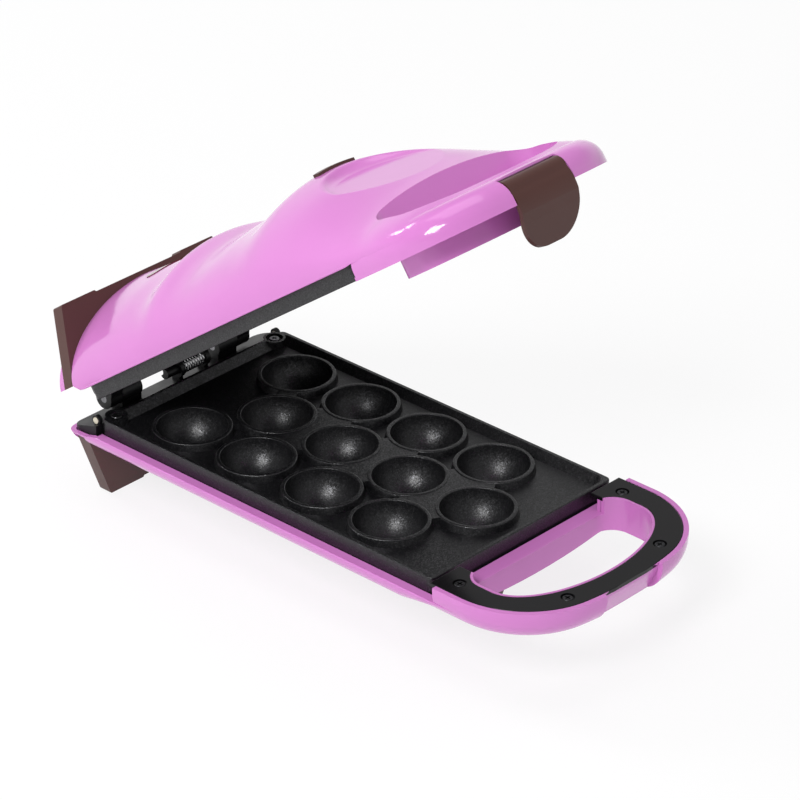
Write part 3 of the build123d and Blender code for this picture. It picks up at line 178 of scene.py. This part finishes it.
def moulded(name, dark, light, rough, grain, depth, strength=0.3, **inputs):
    """Moulded plastic: slight colour drift, uneven gloss and a grain of the given fineness."""
    material, tree = new_material(name)
    body = shader(tree, **inputs)
    point = object_point(tree)
    drift = shade_between(tree, noise(tree, point, DRIFT_SCALE), dark, light)
    tree.links.new(drift, body.inputs["Base Color"])
    tree.links.new(spread(tree, noise(tree, point, GLOSS_SCALE, 3.0), *rough), body.inputs["Roughness"])
    tree.links.new(bumped(tree, noise(tree, point, grain, 3.0), strength, depth), body.inputs["Normal"])
    return material


def rolled_metal(name, dark, light, rough, stretch, **inputs):
    """Bare metal with fine lines drawn along one direction."""
    material, tree = new_material(name)
    body = shader(tree, Metallic=1.0, **inputs)
    lines = noise(tree, object_point(tree, stretch), LINE_SCALE)
    tree.links.new(shade_between(tree, lines, dark, light), body.inputs["Base Color"])
    tree.links.new(spread(tree, lines, *rough), body.inputs["Roughness"])
    tree.links.new(bumped(tree, lines, 0.15, LINE_DEPTH), body.inputs["Normal"])
    return material


print("two kinds of finish ready")

# %% [markdown]
# ## Plastics
# The shells are orchid pink and very glossy: they mirror the studio's lamps as sharp white patches. A trace
# of orange peel keeps the mirror from being perfect. The stands and the latch are chocolate brown with a
# satin face, the hinge parts are satin black, and the trim in the base's handle is polished black.

# %% Finishes of the moulded parts
finishes = {
    "pink_shell": moulded(
        "pink_shell", (0.63, 0.205, 0.57), (0.66, 0.225, 0.60), (0.10, 0.16), 260.0, 0.0002, 0.04, IOR=1.55,
    ),
    "brown_plastic": moulded(
        "brown_plastic", (0.070, 0.027, 0.023), (0.086, 0.035, 0.029), (0.34, 0.44), 1500.0, 0.00004, 0.25,
        IOR=1.4,
    ),
    "black_plastic": moulded(
        "black_plastic", (0.006, 0.006, 0.007), (0.010, 0.010, 0.011), (0.36, 0.48), 1800.0, 0.00004, 0.25,
        IOR=1.35,
    ),
    "gloss_trim": moulded(
        "gloss_trim", (0.004, 0.004, 0.005), (0.007, 0.006, 0.007), (0.08, 0.13), 300.0, 0.0001, 0.03,
        IOR=1.4,
    ),
    "pale_pin": moulded(
        "pale_pin", (0.70, 0.64, 0.50), (0.78, 0.73, 0.60), (0.35, 0.45), 900.0, 0.00003,
    ),
    "rubber_pad": moulded(
        "rubber_pad", (0.018, 0.018, 0.018), (0.030, 0.030, 0.030), (0.75, 0.90), 1200.0, 0.00008, 0.5,
    ),
}
print("moulded finishes:", ", ".join(finishes))

# %% [markdown]
# ## The plates' coating
# The cast plates carry a black non-stick coating with fine metal flakes in it. The coating itself is satin
# and nearly black. The flakes are dark and tiny, but each one lies at its own slight tilt and mirrors the
# lamp, so every cup holds a soft patch of sparkle. A bump pattern alone would sparkle too, but too evenly:
# real flakes are either there or not. Cell noise gives each cell a random colour, which is used twice: its
# red part decides whether the cell is a flake at all, and all three parts tilt it.


# %% Coating with a fine sparkle
FLAKES_PER_METRE = 2100.0    # cells along a metre, so a cell is about half a millimetre
FLAKE_TILT = 0.15            # share of a cell's random colour that is added to the normal
FLAKE_SHARE = (0.55, 0.85)   # red value where a cell begins to be a flake, and where it is one wholly
COAT_BLACK = (0.006, 0.006, 0.0072)
FLAKE_GREY = (0.07, 0.07, 0.074)
COAT_ROUGH = (0.33, 0.40)
COAT_DEPTH = 0.00005         # depth of the coating's own unevenness, metres


def flake_normal(tree, colour, normal):
    """The given normal tilted by a cell's random colour: normal + tilt * (colour - one half)."""
    centred = tree.nodes.new("ShaderNodeVectorMath")
    centred.operation = "SUBTRACT"
    centred.inputs[1].default_value = (0.5, 0.5, 0.5)
    tree.links.new(colour, centred.inputs[0])
    tilted = tree.nodes.new("ShaderNodeVectorMath")
    tilted.operation = "MULTIPLY_ADD"
    tilted.inputs[1].default_value = (FLAKE_TILT, FLAKE_TILT, FLAKE_TILT)
    tree.links.new(centred.outputs["Vector"], tilted.inputs[0])
    tree.links.new(normal, tilted.inputs[2])
    unit = tree.nodes.new("ShaderNodeVectorMath")
    unit.operation = "NORMALIZE"
    tree.links.new(tilted.outputs["Vector"], unit.inputs[0])
    return unit.outputs["Vector"]


def sparkling_coat(name):
    """Black satin coating in which about one cell in three is a metal flake of half a millimetre."""
    material, tree = new_material(name)
    body = shader(tree, IOR=1.52)
    point = object_point(tree)
    cells = add_node(tree, "ShaderNodeTexVoronoi", Scale=FLAKES_PER_METRE, Randomness=1.0)
    tree.links.new(point, cells.inputs["Vector"])
    channels = tree.nodes.new("ShaderNodeSeparateColor")
    tree.links.new(cells.outputs["Color"], channels.inputs["Color"])
    flake = spread(tree, channels.outputs["Red"], 0.0, 1.0, *FLAKE_SHARE)
    tree.links.new(flake, body.inputs["Metallic"])
    tree.links.new(shade_between(tree, flake, COAT_BLACK, FLAKE_GREY), body.inputs["Base Color"])
    cloud = noise(tree, point, 40.0, 3.0)
    tree.links.new(spread(tree, cloud, *COAT_ROUGH), body.inputs["Roughness"])
    grain = bumped(tree, noise(tree, point, 1500.0, 2.0), 0.3, COAT_DEPTH)
    tree.links.new(flake_normal(tree, cells.outputs["Color"], grain), body.inputs["Normal"])
    return material


finishes["cup_plate"] = sparkling_coat("cup_plate")
print("plate coating ready")

# %% [markdown]
# ## Metals, lenses and lamps
# Screws, springs and sheets are metals with drawn or rolled lines. The two halves of the indicator window are
# clear coloured plastic over small neon lamps. Where light would have to pass through a thick solid, a glossy
# shader with some transmission shows enough depth.

# %% Finishes of the metal and clear parts
LONG_LINES = (0.05, 1.0, 1.0)
ROUND_LINES = (1.0, 1.0, 0.1)
METALS = {
    "screw_steel": ((0.16, 0.16, 0.17), (0.24, 0.24, 0.25), (0.26, 0.36), ROUND_LINES),
    "screw_black": ((0.035, 0.035, 0.04), (0.07, 0.07, 0.075), (0.28, 0.40), ROUND_LINES),
    "spring_steel": ((0.42, 0.42, 0.43), (0.62, 0.62, 0.63), (0.20, 0.32), LONG_LINES),
    "heater_steel": ((0.20, 0.19, 0.18), (0.36, 0.34, 0.32), (0.35, 0.50), LONG_LINES),
    "reflector_sheet": ((0.66, 0.66, 0.67), (0.80, 0.80, 0.81), (0.22, 0.34), LONG_LINES),
}
for metal_name, (dark, light, rough, lines) in METALS.items():
    finishes[metal_name] = rolled_metal(metal_name, dark, light, rough, lines)


def clear_colour(name, dark, light, through):
    """Clear coloured plastic or glass: smooth, with a faint cloud in its colour."""
    material, tree = new_material(name)
    body = shader(tree, IOR=1.49, Transmission_Weight=through)
    cloud = noise(tree, object_point(tree), 120.0)
    tree.links.new(shade_between(tree, cloud, dark, light), body.inputs["Base Color"])
    tree.links.new(spread(tree, cloud, 0.05, 0.10), body.inputs["Roughness"])
    return material


finishes["red_lens"] = clear_colour("red_lens", (0.14, 0.006, 0.018), (0.20, 0.012, 0.03), 0.25)
finishes["green_lens"] = clear_colour("green_lens", (0.008, 0.15, 0.14), (0.02, 0.22, 0.20), 0.25)
finishes["lamp_glass"] = clear_colour("lamp_glass", (0.70, 0.58, 0.48), (0.82, 0.72, 0.62), 0.6)

print("finishes:", ", ".join(finishes))

# %% [markdown]
# ## From slot to piece
# The solids come with no finish, but the record names a material slot for each. Going by slot, not by a list
# of names, gives pieces of one material the same finish, and no piece is forgotten.

# %% Give every CAD piece its finish
for part in frame["record"]["subparts"]:
    node = nodes[part["node"]]
    node.data.materials.clear()
    node.data.materials.append(finishes[part["material_slot"]])

# %% [markdown]
# ## Beads on the shells' rims
# Along the plates both shells end in a narrow rolled edge, which shows as one thin bright line. It is too
# fine for the solids, so it is drawn here: a round bead carried along a straight path, half sunk in the rim,
# with ends that run out to a point. A curve with a bevel would do it too, but it would end in a flat cut.
# The lid's beads are the base's, mirrored in the closing plane and then swung about the hinge as the lid is.

# %% A round bead along a path
BEAD_RADIUS = 0.00055
BEAD_AROUND = 12
BEAD_ALONG = 40
RUN_OUT = 0.004              # length over which an end tapers

# The next places are measured from the middle of the closing plane, as the solids are drawn.
PLANE_HEIGHT = 0.0477        # the closing plane above the table
MIDDLE_Y = -0.018055         # the middle of the open product's box
HINGE_Y, HINGE_Z = 0.1112, -0.0005
LID_ANGLE = math.radians(36.0)
RIM_X, RIM_Z = 0.06555, 0.00805
RIM_FRONT, RIM_REAR = -0.1172, 0.0975


def bead(name, start, end, body):
    """A tube about the line start..end: radius * sqrt of the share of the run-out left at each point."""
    start, end = np.array(start), np.array(end)
    length = np.linalg.norm(end - start)
    along = (end - start) / length
    share = np.linspace(0.0, 1.0, BEAD_ALONG)
    travel = length * (0.5 - 0.5 * np.cos(math.pi * share))
    radius = BEAD_RADIUS * np.sqrt(np.clip(np.minimum(travel, length - travel) / RUN_OUT, 0.0, 1.0))
    side = np.cross(along, (1.0, 0.0, 0.0))
    angle = np.linspace(0.0, 2 * math.pi, BEAD_AROUND, endpoint=False)
    ring = np.cos(angle)[:, None] * np.array((1.0, 0.0, 0.0)) + np.sin(angle)[:, None] * side
    middle = start + travel[1:-1, None] * along
    tube = middle[:, None, :] + radius[1:-1, None, None] * ring[None, :, :]
    rows = BEAD_ALONG - 2
    points = np.vstack([tube.reshape(-1, 3), start[None, :], end[None, :]])
    index = np.arange(rows * BEAD_AROUND).reshape(rows, BEAD_AROUND)
    after = np.roll(index, -1, axis=1)
    quads = np.stack([index[:-1], index[1:], after[1:], after[:-1]], axis=-1).reshape(-1, 4)
    first = np.full(BEAD_AROUND, rows * BEAD_AROUND)
    caps = np.vstack([np.stack([first, index[0], after[0]], axis=1),
                      np.stack([first + 1, after[-1], index[-1]], axis=1)])
    mesh = bpy.data.meshes.new(name)
    mesh.from_pydata(points.tolist(), [], quads.tolist() + caps.tolist())
    mesh.update()
    mesh.polygons.foreach_set("use_smooth", np.ones(len(mesh.polygons), bool))
    mesh.materials.append(finishes["pink_shell"])
    piece = bpy.data.objects.new(name, mesh)
    bpy.context.scene.collection.objects.link(piece)
    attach(piece, body)
    return piece


def swung_open(x, y, z):
    """A point of the closed lid, drawn about the closing plane, where it lies on the open product."""
    dy, dz = y - HINGE_Y, z - HINGE_Z
    cos, sin = math.cos(LID_ANGLE), math.sin(LID_ANGLE)
    return (x, HINGE_Y + dy * cos + dz * sin - MIDDLE_Y, HINGE_Z - dy * sin + dz * cos + PLANE_HEIGHT)


print("a bead is", 2000 * BEAD_RADIUS, "mm thick")

# %% [markdown]
# ## Where the beads run
# Each shell has a bead on its left and its right rim, from behind the step of the handle to just before the
# hinge. Each rides on its shell's body, so that the lid's beads swing with the lid.

# %% Four beads
for side_name, sign in (("left", -1), ("right", 1)):
    bead(f"base_bead_{side_name}",
         (sign * RIM_X, RIM_FRONT - MIDDLE_Y, PLANE_HEIGHT - RIM_Z),
         (sign * RIM_X, RIM_REAR - MIDDLE_Y, PLANE_HEIGHT - RIM_Z), "base")
    bead(f"lid_bead_{side_name}",
         swung_open(sign * RIM_X, RIM_FRONT, RIM_Z), swung_open(sign * RIM_X, RIM_REAR, RIM_Z), "lid")
print("beads of", BEAD_AROUND * BEAD_ALONG, "points each")

# %% [markdown]
# ## Studio
# The photograph was taken in a studio with a bright horizon and a darker ceiling, so black parts that face up
# stay black. The world is the same here: the camera sees plain white, mirrors and glass see white near the
# horizon and a dim ceiling above, and all other rays get an even grey. The floor shows the camera mostly
# white and only a share of its shadow, because the real one is a sheet lit from behind. More light on a plain
# white floor would whiten it too, but it would bleach the shells.

# %% Rays and world
WORLD_LEVEL = 0.40           # strength of the grey that lights the object
HORIZON = (0.16, 0.46)       # sine of the height where the white begins and has ended


def mathematics(tree, operation, first, second):
    """One arithmetic node on two sockets."""
    node = tree.nodes.new("ShaderNodeMath")
    node.operation = operation
    tree.links.new(first, node.inputs[0])
    tree.links.new(second, node.inputs[1])
    return node.outputs[0]


world = bpy.data.worlds.new("studio")
world.use_nodes = True
world_tree = world.node_tree
ground = world_tree.nodes["Background"]
ground.inputs["Color"].default_value = (1.0, 1.0, 1.0, 1.0)
rays = world_tree.nodes.new("ShaderNodeLightPath").outputs
heading = world_tree.nodes.new("ShaderNodeSeparateXYZ")
directions = world_tree.nodes.new("ShaderNodeTexCoord").outputs["Generated"]
world_tree.links.new(directions, heading.inputs["Vector"])
low_sky = spread(world_tree, heading.outputs["Z"], 1.0, 0.0, *HORIZON)
mirrored = mathematics(world_tree, "MAXIMUM", rays["Is Glossy Ray"], rays["Is Transmission Ray"])
white = mathematics(world_tree, "MAXIMUM", rays["Is Camera Ray"],
                    mathematics(world_tree, "MULTIPLY", mirrored, low_sky))
level = spread(world_tree, white, WORLD_LEVEL, 1.0, 0.0, 1.0)
world_tree.links.new(level, ground.inputs["Strength"])
bpy.context.scene.world = world
print("world level", WORLD_LEVEL)

# %% [markdown]
# ## Floor
# The floor is one large plane of matt white. To the camera and in mirrors most of it is a lit white sheet, so
# only a faint share of the object's shadow is left. Light that bounces sees the plain matt floor, which lifts
# the shells' undersides as the table did.

# %% Floor
FLOOR_SIZE = 8.0             # half the floor's side, metres
SHADOW_SHARE = 0.18          # share of the lit floor, and so of its shadow, that the camera sees
FLOOR_WHITE = (0.93, 0.93, 0.935, 1.0)

floor_mesh = bpy.data.meshes.new("floor")
corners = FLOOR_SIZE * np.array([(-1, -1, 0), (1, -1, 0), (1, 1, 0), (-1, 1, 0)], float)
floor_mesh.from_pydata(corners.tolist(), [], [(0, 1, 2, 3)])
floor = bpy.data.objects.new("floor", floor_mesh)
bpy.context.scene.collection.objects.link(floor)

floor_finish, floor_tree = new_material("floor")
matt = add_node(floor_tree, "ShaderNodeBsdfDiffuse", Color=FLOOR_WHITE)
lit = add_node(floor_tree, "ShaderNodeEmission", Color=(1.0, 1.0, 1.0, 1.0), Strength=1.0)
floor_rays = floor_tree.nodes.new("ShaderNodeLightPath").outputs
seen = mathematics(floor_tree, "MAXIMUM", floor_rays["Is Camera Ray"],
                   mathematics(floor_tree, "MAXIMUM", floor_rays["Is Glossy Ray"],
                               floor_rays["Is Transmission Ray"]))
white_share = spread(floor_tree, seen, 0.0, 1.0 - SHADOW_SHARE, 0.0, 1.0)
sheet = floor_tree.nodes.new("ShaderNodeMixShader")
floor_tree.links.new(white_share, sheet.inputs["Fac"])
floor_tree.links.new(matt.outputs["BSDF"], sheet.inputs[1])
floor_tree.links.new(lit.outputs["Emission"], sheet.inputs[2])
floor_tree.links.new(sheet.outputs["Shader"], floor_tree.nodes["Output"].inputs["Surface"])
floor_mesh.materials.append(floor_finish)
print("floor ready")

# %% [markdown]
# ## Lamps
# Three soft boxes light the object. The one overhead is wide and weak and shapes the lid. The one at the rear
# draws the streaks along the lid's crown. The one on the left makes the white patches: each cup is a hollow
# ball, so it mirrors that lamp in one spot, and the spots' place in the cups gave the lamp's direction.

# %% Soft lamps
# Each lamp's place, its width and height in metres, and its power in watts.
LAMP_TARGET = (0.0, 0.0, 0.1)
LAMPS = {
    "overhead": ((0.1, 0.5, 2.2), (1.6, 1.6), 12.0),
    "rear": ((-0.35, 1.75, 1.35), (0.62, 0.42), 11.0),
    "left": ((-1.42, -0.42, 1.50), (0.62, 0.62), 24.0),
}


def soft_lamp(name, place, size, power):
    """A rectangular lamp that faces the middle of the object."""
    data = bpy.data.lights.new(name, "AREA")
    data.shape = "RECTANGLE"
    data.size, data.size_y = size
    data.energy = power
    lamp = bpy.data.objects.new(name, data)
    away = np.array(place) - np.array(LAMP_TARGET)
    away /= np.linalg.norm(away)
    side = np.cross((0.0, 0.0, 1.0), away)
    side /= np.linalg.norm(side)
    rise = np.cross(away, side)
    lamp.matrix_world = Matrix([[side[i], rise[i], away[i], place[i]] for i in range(3)] + [[0, 0, 0, 1]])
    bpy.context.scene.collection.objects.link(lamp)


for lamp_name, (place, size, power) in LAMPS.items():
    soft_lamp(lamp_name, place, size, power)
bpy.context.scene.view_settings.view_transform = "Standard"
print("lamps:", ", ".join(LAMPS))
